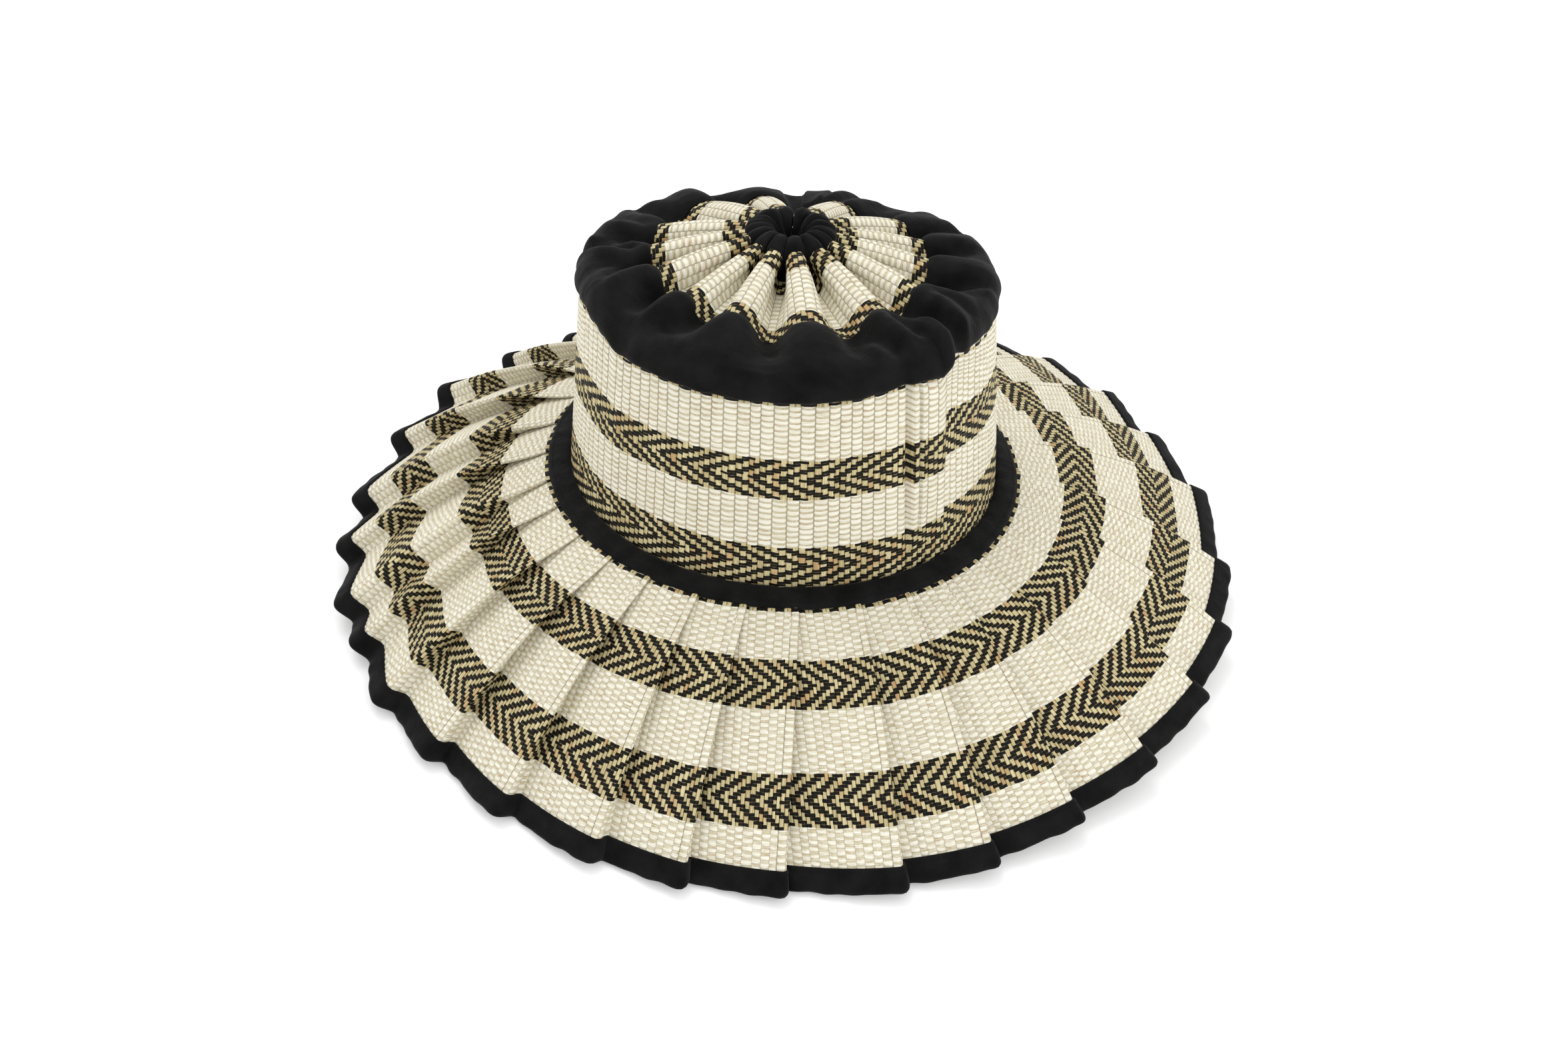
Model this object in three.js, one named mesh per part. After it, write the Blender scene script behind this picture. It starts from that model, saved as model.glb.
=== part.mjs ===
// Woven sun hat with a knife-pleated brim, a straight crown of the same mat and a gathered
// top, trimmed in black cotton. It lies brim down, as it rests by itself on a table.
// Millimetres, +Z up, the front of the hat toward -Y, the floor at z = 0.
import * as THREE from "three";

const TAU = 2 * Math.PI;
const DEG = Math.PI / 180;

// Driving dimensions
const MAT = 1.6; // thickness of the woven mat
const WALL = 2.0; // thickness of the crown's wall, mat and lining
const CLOTH = 1.4; // thickness of the folded cotton trims
const GAP = 0.3; // clearance between neighbouring pieces
const HEAD = { a: 93.8, b: 92.2 }; // outer half width and half depth of the crown at its base
const CROWN_TOP = { a: 83.2, b: 81.6, z: 137.6, x: -1.5, y: 2.6 }; // seam of crown and yoke
const LEAN = { x: -0.012, y: -0.042 }; // slope of the crown's base: it sits a little to the front
const BRIM_BASE_Z = 52.7; // mid-surface of the brim where the base band ends
const BRIM_BASE_OUT = 9.4; // from the crown's outside to that ring
const BRIM_SLANT = 105; // from that ring to the edge of the hem, along the mat
const BRIM_CURL = 14.6 * DEG; // how much steeper the brim is at the hem than at the crown
const HEM_WIDTH = 8.8;
const HEM_CLOTH = 1.0;
const PRESSED = 1.55; // the hem's weight presses its lowest folds flat below this height
const HEM_REACH = 2.0; // from the edge of the mat to the outside of its binding
const ROSETTE = { r: 55.6, z: 150.6, x: -1.5, y: 2.7 }; // outer edge of the rosette, mid-surface
const GATHER = { r: 18.4, z: 155.4, hole: 3.2 }; // inner edge of the rosette and the central hole
const SAG = { depth: 11, at: 80 }; // the soft top sinks behind the middle: this much at this distance
const SEAM_WAVE = 9.0; // ridge to valley of the rosette folds at the yoke
const CENTRE_WAVE = 15.0; // and at the centre
const CREAM = 0xe4dac2;
const BLACK = 0x1b1a1b;

// Knife pleats of the brim, anticlockwise seen from above, one row for each ridge.
// base, hem: direction of the ridge line at the crown and at the hem, degrees from +X
// reach: from the crown's axis to the ridge's corner at the hem
// relief: height of the ridge over the next valley at the hem; lift: valley over the floor there
const PLEATS = [
  { base: 0.0, hem: -3.8, reach: 206.9, relief: 4.5, lift: 10.5 },
  { base: 14.5, hem: 11.3, reach: 210.0, relief: 4.6, lift: 10.5 },
  { base: 26.5, hem: 24.0, reach: 209.5, relief: 4.8, lift: 9.8 },
  { base: 37.5, hem: 35.4, reach: 213.0, relief: 4.9, lift: 9.0 },
  { base: 48.5, hem: 47.2, reach: 211.9, relief: 5.1, lift: 7.2 },
  { base: 60.0, hem: 59.0, reach: 210.0, relief: 5.6, lift: 3.2 },
  { base: 71.5, hem: 70.8, reach: 208.0, relief: 6.1, lift: 2.0 },
  { base: 82.5, hem: 82.6, reach: 205.0, relief: 6.7, lift: 1.9 },
  { base: 93.5, hem: 94.4, reach: 202.5, relief: 7.2, lift: 1.9 },
  { base: 104.5, hem: 106.2, reach: 200.0, relief: 7.8, lift: 2.1 },
  { base: 115.0, hem: 118.0, reach: 197.0, relief: 8.4, lift: 2.8 },
  { base: 125.5, hem: 129.8, reach: 194.3, relief: 8.7, lift: 4.9 },
  { base: 136.5, hem: 141.4, reach: 197.7, relief: 8.9, lift: 6.9 },
  { base: 148.5, hem: 154.3, reach: 200.5, relief: 9.0, lift: 8.5 },
  { base: 160.5, hem: 167.7, reach: 197.5, relief: 9.0, lift: 9.2 },
  { base: 173.3, hem: 181.7, reach: 198.3, relief: 9.0, lift: 9.2 },
  { base: 186.2, hem: 190.9, reach: 200.4, relief: 8.8, lift: 7.8 },
  { base: 197.6, hem: 201.1, reach: 198.9, relief: 8.4, lift: 5.8 },
  { base: 208.0, hem: 207.6, reach: 195.0, relief: 7.9, lift: 4.4 },
  { base: 220.1, hem: 217.3, reach: 194.4, relief: 7.2, lift: 2.5 },
  { base: 231.1, hem: 228.1, reach: 191.7, relief: 6.4, lift: 1.9 },
  { base: 242.0, hem: 239.7, reach: 193.7, relief: 5.5, lift: 1.9 },
  { base: 253.6, hem: 251.8, reach: 195.1, relief: 5.1, lift: 1.9 },
  { base: 264.4, hem: 262.0, reach: 195.1, relief: 4.8, lift: 1.9 },
  { base: 275.5, hem: 272.8, reach: 194.4, relief: 4.5, lift: 1.9 },
  { base: 289.1, hem: 285.5, reach: 196.9, relief: 4.5, lift: 2.5 },
  { base: 300.8, hem: 295.8, reach: 198.2, relief: 4.5, lift: 4.8 },
  { base: 311.5, hem: 307.1, reach: 198.5, relief: 4.5, lift: 7.4 },
  { base: 323.0, hem: 319.2, reach: 200.6, relief: 4.5, lift: 9.5 },
  { base: 336.0, hem: 332.2, reach: 203.0, relief: 4.5, lift: 10.2 },
  { base: 348.0, hem: 344.2, reach: 205.4, relief: 4.5, lift: 10.5 },
];

// Places along one pleat, from its valley to its ridge: share of the panel and of the relief
const PANEL = [
  { along: 0.0, height: 0.0 },
  { along: 0.34, height: 0.06 },
  { along: 0.7, height: 0.62 },
  { along: 1.0, height: 1.0 },
];
const RETURN = { base: 1.5, hem: 3.4 }; // width in plan from a ridge to the foot of the next panel
const FLAT_TO = 0.6; // the mat lies flat from its inner edge to here, under the base band
const BASE_RELIEF = 1.8; // relief where the pleats leave the base band
const FULL_RELIEF_AT = 0.35; // share of the slant where the relief is fully open
const HEM_SKEW = 2.0; // a panel's ridge corner stands out, its valley corner in, at the hem
const HEM_SINE = 0.57; // sine of the brim's slope at the hem, about the same all round

// Radial folds of the rosette, degrees from +X, one for each ridge
const ROSETTE_RIDGES = [
  13, 34, 70, 103, 133, 168, 186, 205, 228, 250, 279, 309, 333, 356,
];

// Places along one rosette fold: share of the step to the next ridge and height of the wave
const FOLD = [
  { along: 0.0, wave: 1.0 },
  { along: 0.16, wave: 0.8 },
  { along: 0.34, wave: -0.05 },
  { along: 0.5, wave: -1.0 },
  { along: 0.66, wave: -0.05 },
  { along: 0.84, wave: 0.8 },
];

// Vertical tucks in the crown's mat, taken in at the front right
const TUCKS = [
  { at: -56.3, half: 1.1, depth: 0.9 },
  { at: -52.8, half: 1.1, depth: 0.9 },
];

const mix = (a, b, t) => a + (b - a) * t;
const clamp01 = (t) => Math.min(1, Math.max(0, t));
const smooth = (t) => clamp01(t) ** 2 * (3 - 2 * clamp01(t));
const onEllipse = (a, b, angle) => [a * Math.cos(angle), b * Math.sin(angle)];

// A closed ring: a closed profile carried round the hat. place(i, point) gives the position of a
// profile point at station i. Stations run anticlockwise, and the profile runs outward on top.
function ring(name, color, stations, profile, place) {
  const positions = [];
  const index = [];
  const n = profile.length;
  for (let i = 0; i < stations; i++)
    for (const point of profile) positions.push(...place(i, point).toArray());
  for (let i = 0; i < stations; i++)
    for (let j = 0; j < n; j++) {
      const here = i * n;
      const next = ((i + 1) % stations) * n;
      const k = (j + 1) % n;
      index.push(here + j, here + k, next + k, here + j, next + k, next + j);
    }
  const geometry = new THREE.BufferGeometry();
  geometry.setAttribute("position", new THREE.Float32BufferAttribute(positions, 3));
  geometry.setIndex(index);
  geometry.computeVertexNormals();
  const material = new THREE.MeshStandardMaterial({ color, roughness: 0.85, metalness: 0 });
  const mesh = new THREE.Mesh(geometry, material);
  mesh.name = name;
  return mesh;
}

// The profile of a sheet: along its outer side through the given places, back along its inner.
function sheet(places, outer, inner = outer) {
  const top = places.map((s) => ({ s, n: outer }));
  const bottom = places.map((s) => ({ s, n: -inner })).reverse();
  return [...top, ...bottom];
}

// A point at distance n from a mid-surface mid(i, s), on its outer side, mitred at the folds so
// that a folded sheet keeps its thickness.
const LONGEST_MITRE = 2.2;
function offset(mid, stations, i, s, n) {
  const here = mid(i, s);
  const along = mid(i, s + 0.5).sub(mid(i, s - 0.5)).normalize();
  const before = here.clone().sub(mid((i + stations - 1) % stations, s));
  const after = mid((i + 1) % stations, s).sub(here);
  const normals = [before, after].map((d) => along.clone().cross(d).normalize());
  const normal = normals[0].clone().add(normals[1]).normalize();
  const mitre = Math.min(LONGEST_MITRE, 1 / Math.max(0.2, normal.dot(normals[0])));
  return here.addScaledVector(normal, n * mitre);
}

// Height of the leaning base plane over its centre, and how far the top sinks toward the back
const lean = (x, y) => LEAN.x * x + LEAN.y * y;
const sag = (y) => SAG.depth * (Math.max(0, y) / SAG.at) ** 2;

// Brim: s runs from the base ring to the hem, which is at the given radius and height. The slope
// grows steadily between them, so that radius and drop are the integrals of its cosine and sine.
function brimPoint(angle, s, reach, lift) {
  const base = HEAD.a + BRIM_BASE_OUT;
  const narrower = HEAD.b - HEAD.a;
  const [bx, by] = onEllipse(base, base + narrower, angle);
  const top = BRIM_BASE_Z + lean(bx, by);
  const run = reach - Math.hypot(bx, by);
  const fall = top - lift;
  const half = BRIM_CURL / 2;
  const length = (Math.hypot(run, fall) * half) / Math.sin(half);
  const first = Math.atan2(fall, run) - half;
  const share = Math.max(0, s) / BRIM_SLANT;
  const slope = first + share * BRIM_CURL;
  const inside = Math.min(0, s); // under the base band the mat is flat
  const out = (length / BRIM_CURL) * (Math.sin(slope) - Math.sin(first)) + inside;
  const drop = (length / BRIM_CURL) * (Math.cos(first) - Math.cos(slope));
  const [x, y] = onEllipse(base + out, base + narrower + out, angle);
  const level = s < 0 ? BRIM_BASE_Z + lean(x, y) : top - drop;
  return { position: new THREE.Vector3(x, y, level), slope: s < 0 ? 0 : slope };
}

// Direction of a straight ridge line at slant distance s
function ridgeAngle(pleat, s) {
  const near = HEAD.a + BRIM_BASE_OUT;
  const far = near + 0.92 * BRIM_SLANT;
  const here = near + 0.92 * Math.max(0, s);
  const share = (1 - near / here) / (1 - near / far);
  return mix(pleat.base, pleat.hem, share) * DEG;
}

const BRIM_STATIONS = PLEATS.length * PANEL.length;

// Mid-surface of the pleated brim at station i, slant distance s
function brimMid(i, s) {
  const count = PLEATS.length;
  const k = Math.floor(i / PANEL.length);
  const place = PANEL[i % PANEL.length];
  const before = PLEATS[(k + count - 1) % count];
  const pleat = PLEATS[k];
  const t = clamp01(s / BRIM_SLANT);
  const ridge = ridgeAngle(pleat, s);
  const turn = ridge - ridgeAngle(before, s);
  const step = turn - TAU * Math.round((turn - TAU / count) / TAU);
  const radius = HEAD.a + BRIM_BASE_OUT + 0.92 * s;
  const back = mix(RETURN.base, RETURN.hem, t) / radius;
  const angle = ridge - (1 - place.along) * (step - back);
  const lift = mix(before.lift, pleat.lift, place.along);
  const reach = mix(before.reach, pleat.reach, place.along);
  const rise = mix(before.relief, pleat.relief, place.along);
  const open = mix(BASE_RELIEF, pleat.relief, smooth(t / FULL_RELIEF_AT));
  const relief = open * smooth((s - FLAT_TO) / 6) * place.height;
  const mean = reach - HEM_SKEW - rise * HEM_SINE;
  const { position, slope } = brimPoint(angle, s, mean, lift);
  const skew = HEM_SKEW * t * (2 * place.along - 1);
  const out = skew + relief * Math.sin(slope);
  position.x += out * Math.cos(angle);
  position.y += out * Math.sin(angle);
  position.z += relief * Math.cos(slope);
  return position;
}

const onFloor = (p) => p.setZ(Math.max(PRESSED, p.z)); // the cloth hem flattens where it rests

function brim() {
  const rows = [-11, FLAT_TO, 6.6, 20, 46, 76, BRIM_SLANT - HEM_REACH];
  const place = (i, { s, n }) => offset(brimMid, BRIM_STATIONS, i, s, n);
  return ring("brim", CREAM, BRIM_STATIONS, sheet(rows, MAT / 2), place);
}

// Cloth binding folded over the edge of the mat, open toward the crown
function brimHem() {
  const inner = MAT / 2 + GAP;
  const outer = inner + HEM_CLOTH;
  const start = BRIM_SLANT - HEM_WIDTH;
  const edge = BRIM_SLANT - HEM_REACH + GAP;
  const profile = [
    { s: start, n: outer },
    { s: BRIM_SLANT - 0.9, n: outer },
    { s: BRIM_SLANT, n: 0.7 },
    { s: BRIM_SLANT, n: -0.8 },
    { s: BRIM_SLANT - 0.7, n: -outer },
    { s: start, n: -outer },
    { s: start, n: -inner },
    { s: edge, n: -inner },
    { s: edge, n: inner },
    { s: start, n: inner },
  ];
  const place = (i, { s, n }) => onFloor(offset(brimMid, BRIM_STATIONS, i, s, n));
  return ring("brim_hem", BLACK, BRIM_STATIONS, profile, place);
}

// Directions of the crown's stations: even, with each tuck's edges and fold set in between
function crownAngles() {
  const even = Array.from({ length: 60 }, (_, i) => i * 6 - 180);
  const clear = even.filter((a) => TUCKS.every((tuck) => Math.abs(a - tuck.at) > 2.4));
  const folds = TUCKS.flatMap(({ at, half }) => [at - half, at, at + half]);
  return [...clear, ...folds].sort((p, q) => p - q);
}

// Mid-surface of the crown's wall: s is the share of its height from the top down
function crownWall() {
  const angles = crownAngles();
  const foot = BRIM_BASE_Z + MAT / 2 + GAP; // it stands on the flat inner edge of the brim
  const head = CROWN_TOP.z + 4;
  const place = (i, { s, n }) => {
    const angle = angles[i] * DEG;
    const tuck = TUCKS.find(({ at }) => at === angles[i]);
    const a = mix(CROWN_TOP.a, HEAD.a, s) + n - (tuck ? tuck.depth : 0);
    const b = mix(CROWN_TOP.b, HEAD.b, s) + n - (tuck ? tuck.depth : 0);
    const [x, y] = onEllipse(a, b, angle);
    const px = x + CROWN_TOP.x * (1 - s);
    const py = y + CROWN_TOP.y * (1 - s);
    return new THREE.Vector3(px, py, mix(head - sag(py), foot + lean(px, py), s));
  };
  const profile = [
    { s: 0, n: 0 },
    { s: 1, n: 0 },
    { s: 1, n: -WALL },
    { s: 0, n: -WALL },
  ];
  return ring("crown_wall", CREAM, angles.length, profile, place);
}

// Cloth band rolled round the foot of the crown, over the inner edge of the brim
function baseBand() {
  const stations = 62;
  const from = HEAD.a + 0.5;
  const to = HEAD.a + BRIM_BASE_OUT;
  const under = BRIM_BASE_Z + MAT / 2 + GAP;
  const over = HEAD.b - HEAD.a;
  const profile = [
    { r: from, z: under + 3.3 },
    { r: mix(from, to, 0.55), z: under + 3.0 },
    { r: to - 0.7, z: under + 2.1 },
    { r: to, z: under + 1.2 },
    { r: to - 0.4, z: under + 0.3 },
    { r: from, z: under },
  ];
  const place = (i, { r, z }) => {
    const [x, y] = onEllipse(r, r + over, (TAU * i) / stations);
    return new THREE.Vector3(x, y, z + lean(x, y));
  };
  return ring("base_band", BLACK, stations, profile, place);
}

const ROSETTE_STATIONS = ROSETTE_RIDGES.length * FOLD.length;

// Direction and wave height of a station of the gathered top
function fold(i) {
  const count = ROSETTE_RIDGES.length;
  const k = Math.floor(i / FOLD.length);
  const { along, wave } = FOLD[i % FOLD.length];
  const from = ROSETTE_RIDGES[k];
  const to = ROSETTE_RIDGES[(k + 1) % count];
  const step = (to - from + 360) % 360;
  return { angle: (from + along * step) * DEG, wave };
}

// A point of the gathered top: radius r about the rosette's centre, height z of the mid-surface,
// and half of the ridge-to-valley height there
function topPoint(i, { r, z, wave }) {
  const at = fold(i);
  const x = ROSETTE.x + r * Math.cos(at.angle);
  const y = ROSETTE.y + r * Math.sin(at.angle);
  return new THREE.Vector3(x, y, z + wave * at.wave - sag(y));
}

// Mid-surface along a table of rings {s, r, z, wave}, straight between its rows
function along(rings) {
  return (i, s) => {
    const last = rings.length - 2;
    const found = rings.findIndex((row, j) => j > 0 && s <= row.s) - 1;
    const j = found < 0 ? (s <= rings[0].s ? 0 : last) : Math.min(found, last);
    const [p, q] = [rings[j], rings[j + 1]];
    const t = (s - p.s) / (q.s - p.s);
    const row = { r: mix(p.r, q.r, t), z: mix(p.z, q.z, t), wave: mix(p.wave, q.wave, t) };
    return topPoint(i, row);
  };
}

// A gathered sheet through a table of rings. Each ring's distance s along the sheet is counted
// from its first row.
function gatheredRing(name, color, table, half) {
  let s = 0;
  const rings = table.map((row, j) => {
    const last = table[Math.max(0, j - 1)];
    s += Math.hypot(row.r - last.r, row.z - last.z);
    return { ...row, s };
  });
  const mid = along(rings);
  const profile = sheet(rings.map((row) => row.s), half);
  const place = (i, { s: at, n }) => {
    const p = offset(mid, ROSETTE_STATIONS, i, at, n);
    return at === 0 || at === s ? ontoCylinder(p, rings[at === 0 ? 0 : rings.length - 1].r) : p;
  };
  return ring(name, color, ROSETTE_STATIONS, profile, place);
}

// The gathered pieces meet edge to edge, so their edges are cut along upright cylinders
function ontoCylinder(p, r) {
  const [dx, dy] = [p.x - ROSETTE.x, p.y - ROSETTE.y];
  const scale = r / Math.hypot(dx, dy);
  return p.set(ROSETTE.x + dx * scale, ROSETTE.y + dy * scale, p.z);
}

// Pleated mat between the yoke and the centre: its folds grow deeper as they close in
function rosette() {
  const table = [0, 0.5, 1].map((t) => ({
    r: mix(GATHER.r + 0.4, ROSETTE.r, t),
    z: mix(GATHER.z, ROSETTE.z, t),
    wave: mix(CENTRE_WAVE, SEAM_WAVE, t) / 2,
  }));
  return gatheredRing("rosette", CREAM, table, 0.7);
}

// Cloth drawn together in the middle: its folds swell, then turn down into a small hole
function centreGather() {
  const table = [
    { r: GATHER.hole + 0.9, z: 151.0, wave: 0.3 },
    { r: GATHER.hole + 1.2, z: 159.5, wave: 0.5 },
    { r: 8.0, z: 161.4, wave: 1.7 },
    { r: 13.5, z: 158.6, wave: 4.6 },
    { r: GATHER.r, z: GATHER.z, wave: CENTRE_WAVE / 2 },
  ];
  return gatheredRing("centre_gather", BLACK, table, 0.7);
}

// Cloth ring from the rosette over the shoulder of the crown, lapped outside the wall's top
function crownYoke() {
  const shoulder = CROWN_TOP.a + 1.5;
  const table = [
    { r: ROSETTE.r + 0.5, z: ROSETTE.z, wave: SEAM_WAVE / 2 },
    { r: 63.5, z: 151.8, wave: 3.4 },
    { r: 72.0, z: 151.0, wave: 1.6 },
    { r: 79.5, z: 147.8, wave: 0.5 },
    { r: shoulder - 0.4, z: 142.6, wave: 0.1 },
    { r: shoulder + 0.3, z: 138.6, wave: 0 },
  ];
  return gatheredRing("crown_yoke", BLACK, table, CLOTH / 2);
}

const hat = new THREE.Group();
hat.add(
  centreGather(),
  rosette(),
  crownYoke(),
  crownWall(),
  baseBand(),
  brim(),
  brimHem(),
);

// The origin lies under the middle of the hat's outline
const box = new THREE.Box3().setFromObject(hat);
const middle = box.getCenter(new THREE.Vector3());
hat.position.set(-middle.x, -middle.y, -box.min.z);

export default hat;
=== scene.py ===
# Woven sun hat with a knife-pleated brim, a straight crown of the same mat and a gathered top,
# trimmed in black cotton twill. Shapes are worked out in millimetres round the crown's axis, with
# the same values as the part's solids. build() moves them into the part's frame, in metres.
import math

import bpy
import numpy as np
from mathutils import Matrix


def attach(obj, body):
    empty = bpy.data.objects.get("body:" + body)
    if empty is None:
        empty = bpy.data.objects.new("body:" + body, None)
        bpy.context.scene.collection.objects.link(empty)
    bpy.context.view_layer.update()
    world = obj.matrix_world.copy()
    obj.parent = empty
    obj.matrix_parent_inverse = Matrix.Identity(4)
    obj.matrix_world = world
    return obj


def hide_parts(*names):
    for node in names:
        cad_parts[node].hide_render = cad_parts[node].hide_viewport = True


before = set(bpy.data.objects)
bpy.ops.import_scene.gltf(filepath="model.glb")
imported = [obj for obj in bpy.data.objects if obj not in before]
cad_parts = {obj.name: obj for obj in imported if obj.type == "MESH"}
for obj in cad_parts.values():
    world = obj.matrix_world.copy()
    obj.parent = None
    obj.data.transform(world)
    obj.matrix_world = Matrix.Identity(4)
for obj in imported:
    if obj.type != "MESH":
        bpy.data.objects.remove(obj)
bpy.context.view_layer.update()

SHIFT = np.array([-3.956, -4.2474, -1.55])  # from the crown's axis to the middle of the outline
rng = np.random.default_rng(31)

# Driving dimensions in millimetres and degrees, as in the solids. Directions run anticlockwise
# from above, from 0 on the right.
HEAD = (93.8, 92.2)  # outer half width and half depth of the crown at its base
CROWN_TOP = (83.2, 81.6)  # the same at the top
CROWN_TOP_AT = (-2.4, 2.6, 137.6)  # middle of the top, where the yoke's seam runs
LEAN = (-0.012, -0.042)  # slope of the crown's foot along x and y
BRIM_BASE_Z = 52.7  # height of the brim's mat at the crown
BRIM_BASE_OUT = 9.4  # flat part of the brim, under the band
NEAR = HEAD[0] + BRIM_BASE_OUT  # radius where the slope starts
SLANT = 105.0  # length of the slope, to the hem's edge
CURL = math.radians(14.6)  # how much steeper the slope is at the hem
HEM_SKEW, HEM_SINE = 1.5, 0.57  # reach of a ridge past its valley, share of relief off the reach
PRESSED = 1.55  # height that the hem is pressed flat at
JOIN = 315.7  # direction where the ends of the crown's mat meet
TUCKS = (303.6, 307.3)  # directions of the two tucks before it
WALL_HEIGHTS = (89.2, 4.4, 78.1)  # of the whole wall, under the yoke, from yoke to band
WALL_RADIUS = 88.0  # at middle height
MAT_RING = (15.0, 56.8)  # radius of the gathered mat at the centre and at the yoke
ROSETTE_AT = (-2.4, 2.7)  # middle of the gathered top
SAG = (11.0, 80.0)  # drop of the top at the back, and the distance of that from its middle

# Knife pleats, one row for each ridge: direction at the crown, direction at the hem, reach of the
# corner, relief at the hem, lift of the valley at the hem
PLEATS = np.array(
    [
        (0.0, -3.8, 206.9, 4.5, 10.5),
        (14.5, 11.3, 210.0, 4.6, 10.5),
        (26.5, 24.0, 209.5, 4.8, 9.8),
        (37.5, 35.4, 213.0, 4.9, 9.0),
        (48.5, 47.2, 211.9, 5.1, 7.2),
        (60.0, 59.0, 210.0, 5.6, 3.2),
        (71.5, 70.8, 208.0, 6.1, 2.0),
        (82.5, 82.6, 205.0, 6.7, 1.9),
        (93.5, 94.4, 202.5, 7.2, 1.9),
        (104.5, 106.2, 200.0, 7.8, 2.1),
        (115.0, 118.0, 197.0, 8.4, 2.8),
        (125.5, 129.8, 194.3, 8.7, 4.9),
        (136.5, 141.4, 197.7, 8.9, 6.9),
        (148.5, 154.3, 200.5, 9.0, 8.5),
        (160.5, 167.7, 197.5, 9.0, 9.2),
        (173.3, 181.7, 198.3, 9.0, 9.2),
        (186.2, 190.9, 200.4, 8.8, 7.8),
        (197.6, 201.1, 199.9, 8.4, 5.8),
        (208.0, 207.6, 197.2, 7.9, 4.4),
        (220.1, 217.3, 197.4, 7.2, 2.5),
        (231.1, 228.1, 194.2, 6.4, 1.9),
        (242.0, 239.7, 194.4, 5.5, 1.9),
        (253.6, 251.8, 195.1, 5.1, 1.9),
        (264.4, 262.0, 195.1, 4.8, 1.9),
        (275.5, 272.8, 194.4, 4.5, 1.9),
        (289.1, 285.5, 196.9, 4.5, 2.5),
        (300.8, 295.8, 198.2, 4.5, 4.8),
        (311.5, 307.1, 198.5, 4.5, 7.4),
        (323.0, 319.2, 200.6, 4.5, 9.5),
        (336.0, 332.2, 203.0, 4.5, 10.2),
        (348.0, 344.2, 205.4, 4.5, 10.5),
    ]
)
COUNT = len(PLEATS)
# Directions of the gathered top's ridges
RIDGES = np.array([13, 34, 70, 103, 133, 168, 186, 205, 228, 250, 279, 309, 333, 356.0])

# Height of the yoke's seam over a level line, by direction: the shoulder stands unevenly
SEAM = np.array(
    [
        (0, 2.0), (25, 1.0), (60, 0.0), (150, 0.0), (180, 0.3), (191, 2.4), (205, 5.0),
        (213, 4.4), (219, 2.0), (224, -0.8), (234, 0.2), (246, -0.5), (258, 0.1),
        (282, 0.0), (290, 0.8), (297, 1.8), (303, 2.8), (309, 1.8), (313.6, 0.6),
        (315.8, 4.6), (320, 5.6), (336, 3.0), (346, 3.2),
    ]
)
# Creases in the yoke: direction where it starts and ends, radius there, depth and width
CREASES = np.array(
    [
        (324.0, 318.5, 66, 88, 3.2, 3.2),
        (311.5, 313.5, 60, 79, 2.2, 3.6),
        (300.5, 303.0, 68, 85, 2.2, 3.0),
        (296.0, 292.0, 58, 76, 1.6, 5.0),
        (264.5, 268.0, 57, 74, 1.4, 5.0),
        (239.0, 230.0, 57, 82, 2.0, 6.0),
        (216.5, 222.0, 57, 78, 1.4, 4.0),
        (195.5, 206.0, 57, 80, 2.0, 3.4),
        (187.0, 176.0, 62, 87, 2.4, 3.6),
        (168.0, 160.0, 60, 82, 1.6, 4.0),
        (150.5, 146.0, 57, 84, 2.2, 4.2),
        (118.0, 122.0, 57, 80, 1.8, 5.0),
        (89.0, 92.0, 57, 78, 1.6, 3.0),
        (70.0, 64.0, 57, 82, 2.4, 3.4),
        (50.0, 45.0, 57, 80, 1.6, 4.6),
        (22.0, 27.0, 57, 84, 2.2, 3.6),
        (4.5, 10.0, 57, 80, 1.6, 3.4),
        (344.5, 351.0, 57, 86, 2.2, 3.4),
        (334.0, 330.0, 64, 84, 1.4, 3.0),
    ]
)

# The mat: warps of straw run outward. Two warps and the wefts over them read as one cord.
CORD = 3.25  # width of two warps in the brim, in millimetres
TOP_CORD = 3.75  # and in the gathered top
# Share of the slant, or of the wall's height in sight, and the row of weft there
BRIM_ROWS = np.array([(0, 0), (0.196, 16), (0.375, 31), (0.597, 50), (0.781, 65), (1.0, 83)])
CROWN_ROWS = np.array(
    [(-0.1, -6), (0, 0), (0.305, 20), (0.523, 35), (0.806, 53), (1.0, 66), (1.2, 80)]
)


def smooth(t):
    """Eases from 0 to 1: 3t^2 - 2t^3."""
    t = np.clip(t, 0, 1)
    return t * t * (3 - 2 * t)


def blur(points, passes, axis=0):
    """Each pass sets a point of a closed ring to half itself and a quarter of each neighbour."""
    for _ in range(passes):
        points = (
            np.roll(points, 1, axis) / 4 + points / 2 + np.roll(points, -1, axis) / 4
        )
    return points


def waves(angle, seed, orders, size):
    """A seamless irregular ripple round the hat: sines of the given orders with random phases."""
    pick = np.random.default_rng(seed)
    total = sum(
        pick.uniform(0.5, 1) * np.sin(n * angle + pick.uniform(0, 6.28)) for n in orders
    )
    return size * total / len(orders) ** 0.5


def lean(x, y):
    """Height of the crown's foot over its middle: a plane sloping along x and y."""
    return LEAN[0] * x + LEAN[1] * y


def sag(y):
    """Drop of the crown's top towards the back, growing as the square of the distance."""
    return SAG[0] * (np.maximum(0, y) / SAG[1]) ** 2


def seam_lift(angle):
    """Height of the yoke's seam over a level line: straight between the table's rows."""
    return np.interp(np.degrees(angle), SEAM[:, 0], SEAM[:, 1], period=360)


# Meshes


def unit(vectors):
    """Vectors divided by their lengths."""
    return vectors / np.maximum(np.linalg.norm(vectors, axis=-1, keepdims=True), 1e-9)


def run_along(path):
    """Distance along a path at each of its points: a running sum of its steps."""
    return np.concatenate([[0], np.cumsum(np.linalg.norm(np.diff(path, axis=0), axis=1))])


def ringed(path):
    """A closed path with its first point again at its end."""
    return np.concatenate([path, path[:1]])


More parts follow.
